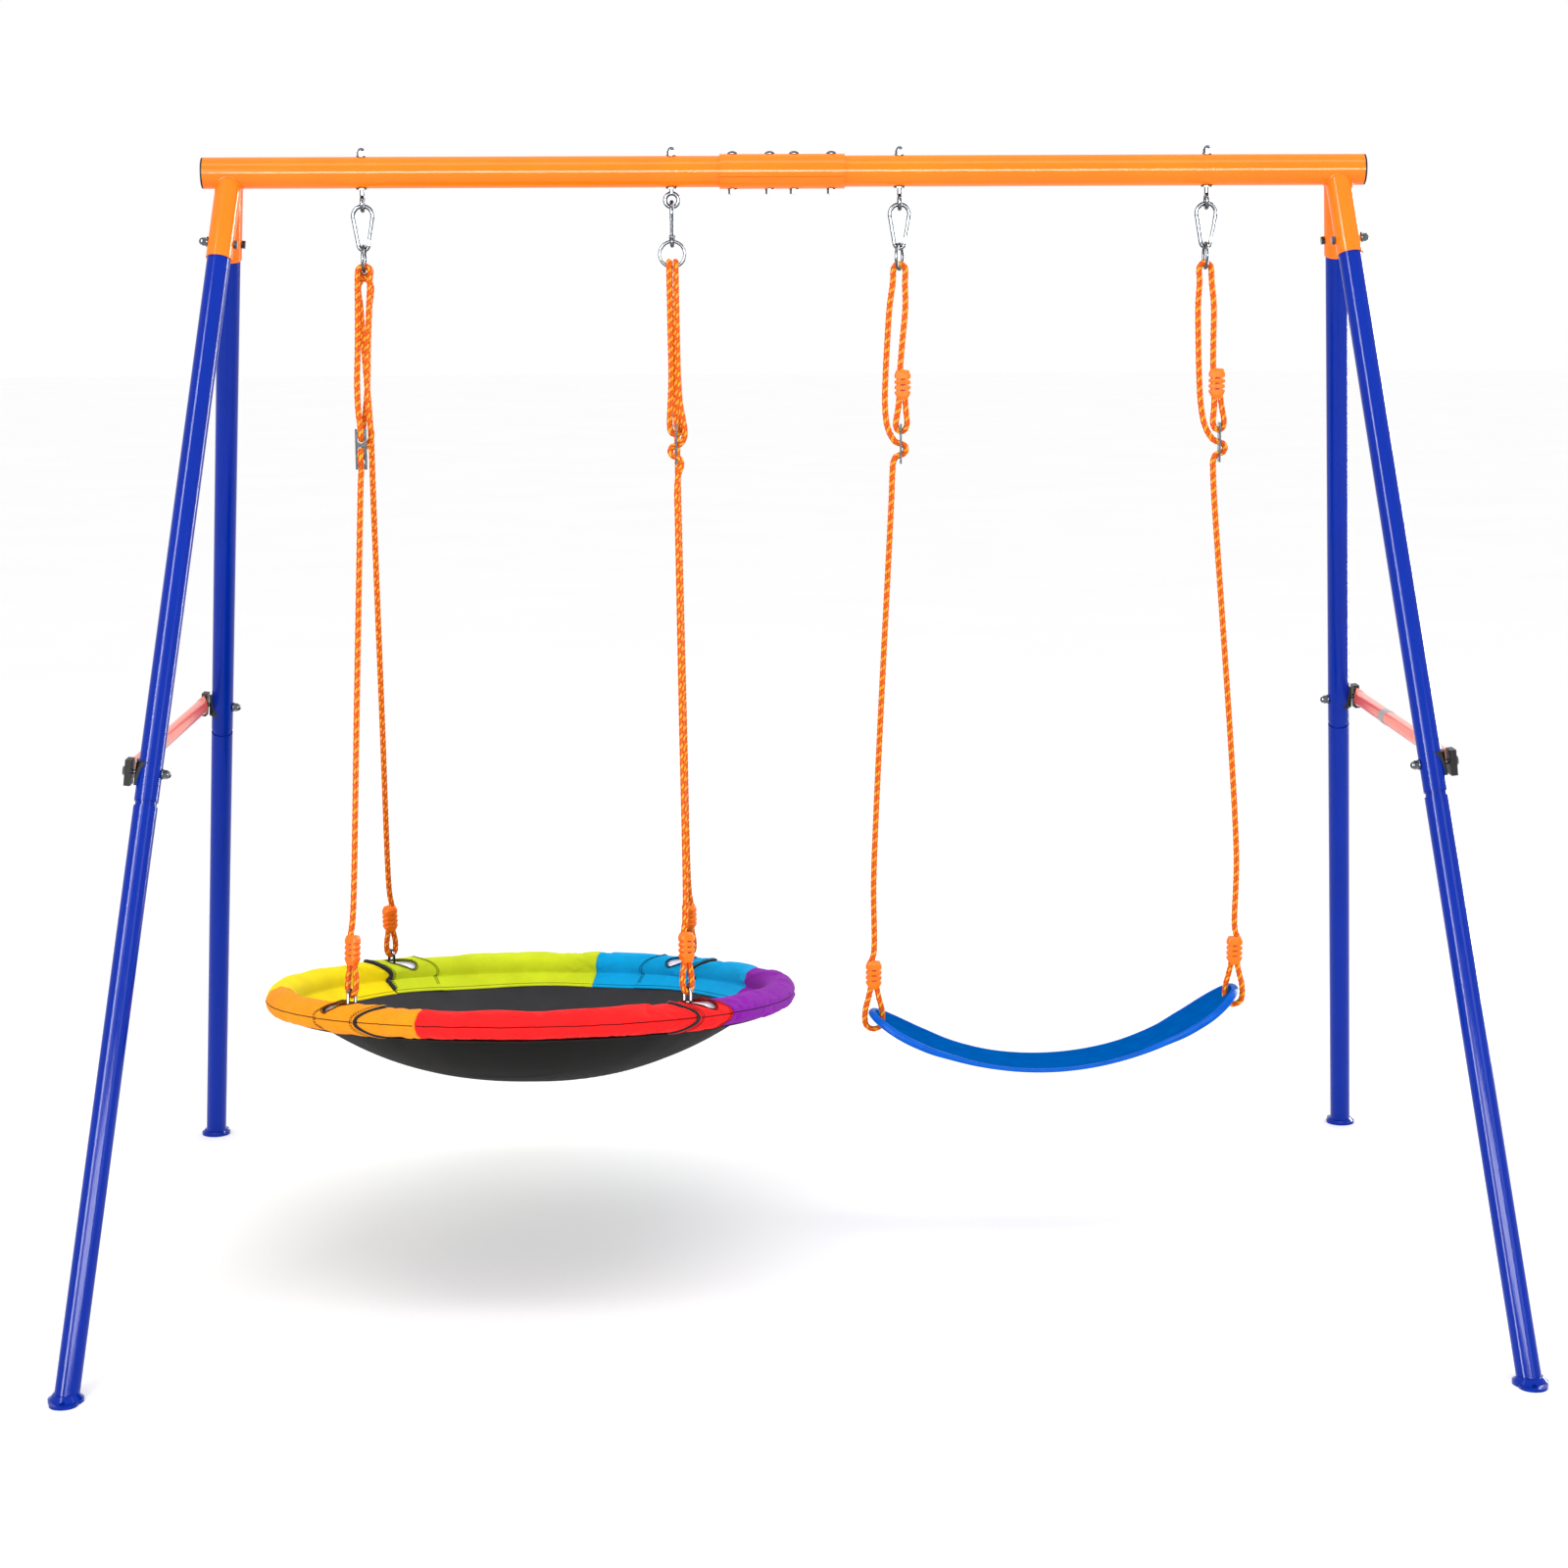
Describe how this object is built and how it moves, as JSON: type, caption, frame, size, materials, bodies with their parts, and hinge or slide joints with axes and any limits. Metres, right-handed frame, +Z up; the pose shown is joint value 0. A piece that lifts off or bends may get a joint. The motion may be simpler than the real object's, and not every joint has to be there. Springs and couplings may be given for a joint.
{
  "type": "swing set",
  "caption": "Free-standing tube-frame swing set with a round padded saucer swing and a flexible belt swing hung on adjustable ropes and snap hooks.",
  "frame": {"origin": "on the ground, midway between the four feet, under the middle of the top tube", "axes": "+X along the top tube, +Y across it towards the back legs, +Z up"},
  "size_m": [2.262, 1.5338, 1.8658],
  "materials": {
    "orange_powder_coat": "glossy orange powder coat",
    "blue_powder_coat": "glossy royal blue powder coat",
    "grey_band": "plain grey adhesive band",
    "black_plastic": "moulded black plastic",
    "orange_rope": "solid-braid polyethylene rope, orange with yellow flecks",
    "orange_plastic": "moulded orange plastic",
    "rim_foam": "closed-cell foam sleeve",
    "rim_tube_steel": "galvanised steel tube",
    "cover_purple": "padded coated polyester, purple",
    "cover_blue": "padded coated polyester, cyan blue",
    "cover_lime": "padded coated polyester, lime",
    "cover_yellow": "padded coated polyester, yellow",
    "cover_orange": "padded coated polyester, orange",
    "cover_red": "padded coated polyester, red",
    "seat_fabric": "dark grey woven polyester",
    "belt_plastic": "flexible moulded EVA, satin blue",
    "zinc_hardware": "bright zinc plate"
  },
  "bodies": {
    "frame": {"left_top_tube": "orange_powder_coat", "right_top_tube": "orange_powder_coat", "sleeve_upper_half": "orange_powder_coat", "sleeve_lower_half": "orange_powder_coat", "sleeve_bolts": "zinc_hardware", "sleeve_nuts": "zinc_hardware", "beam_end_caps": "black_plastic", "left_front_upper_leg": "blue_powder_coat", "left_front_lower_leg": "blue_powder_coat", "left_back_upper_leg": "blue_powder_coat", "left_back_lower_leg": "blue_powder_coat", "right_front_upper_leg": "blue_powder_coat", "right_front_lower_leg": "blue_powder_coat", "right_back_upper_leg": "blue_powder_coat", "right_back_lower_leg": "blue_powder_coat", "socket_bolts": "zinc_hardware", "socket_nuts": "zinc_hardware", "left_brace": "orange_powder_coat", "right_brace": "orange_powder_coat", "brace_band": "grey_band", "brace_saddles": "black_plastic", "brace_end_caps": "black_plastic", "brace_bolts": "zinc_hardware", "brace_nuts": "zinc_hardware", "eye_bolts": "zinc_hardware", "eye_bolt_nuts": "zinc_hardware"},
    "saucer_swing": {"saucer_hooks": "zinc_hardware", "saucer_rings": "zinc_hardware", "saucer_left_rope": "orange_rope", "saucer_right_rope": "orange_rope", "saucer_rope_adjusters": "zinc_hardware", "saucer_rope_clamps": "orange_plastic", "saucer_links": "zinc_hardware", "saucer_rim_tube": "rim_tube_steel", "saucer_rim_foam": "rim_foam", "saucer_cover_purple": "cover_purple", "saucer_cover_blue": "cover_blue", "saucer_cover_lime": "cover_lime", "saucer_cover_yellow": "cover_yellow", "saucer_cover_orange": "cover_orange", "saucer_cover_red": "cover_red", "saucer_seat_fabric": "seat_fabric"},
    "belt_swing": {"belt_hooks": "zinc_hardware", "belt_rings": "zinc_hardware", "belt_left_rope": "orange_rope", "belt_right_rope": "orange_rope", "belt_rope_adjusters": "zinc_hardware", "belt_rope_clamps": "orange_plastic"},
    "belt_seat_body": {"belt_seat": "belt_plastic"},
    "gate_1_body": {"gate_1": "zinc_hardware"},
    "gate_2_body": {"gate_2": "zinc_hardware"},
    "gate_3_body": {"gate_3": "zinc_hardware"},
    "gate_4_body": {"gate_4": "zinc_hardware"}
  },
  "joints": [
    {"name": "saucer_swing_hinge", "type": "hinge", "parent": "frame", "child": "saucer_swing", "pos_m": [-0.44, 0, 1.772], "axis": [1, 0, 0], "range_deg": [-45, 45]},
    {"name": "belt_swing_hinge", "type": "hinge", "parent": "frame", "child": "belt_swing", "pos_m": [0.44, 0, 1.772], "axis": [1, 0, 0], "range_deg": [-45, 45]},
    {"name": "belt_seat_tilt", "type": "hinge", "parent": "belt_swing", "child": "belt_seat_body", "pos_m": [0.45502, 0, 0.41324], "axis": [0.9981, 0, 0.0611], "range_deg": [-25, 25]},
    {"name": "gate_1_hinge", "type": "hinge", "parent": "saucer_swing", "child": "gate_1_body", "pos_m": [-0.68387, 0, 1.71485], "axis": [0, -1, 0], "range_deg": [0, 25], "stiffness_Nm_per_rad": 0.02, "springref_deg": -17.19},
    {"name": "gate_2_hinge", "type": "hinge", "parent": "saucer_swing", "child": "gate_2_body", "pos_m": [-0.187, -0.00913, 1.72025], "axis": [-1, 0, 0], "range_deg": [0, 25], "stiffness_Nm_per_rad": 0.02, "springref_deg": -17.19},
    {"name": "gate_3_hinge", "type": "hinge", "parent": "belt_swing", "child": "gate_3_body", "pos_m": [0.19613, 0, 1.71485], "axis": [0, -1, 0], "range_deg": [0, 25], "stiffness_Nm_per_rad": 0.02, "springref_deg": -17.19},
    {"name": "gate_4_hinge", "type": "hinge", "parent": "belt_swing", "child": "gate_4_body", "pos_m": [0.70213, 0, 1.71485], "axis": [0, -1, 0], "range_deg": [0, 25], "stiffness_Nm_per_rad": 0.02, "springref_deg": -17.19}
  ]
}
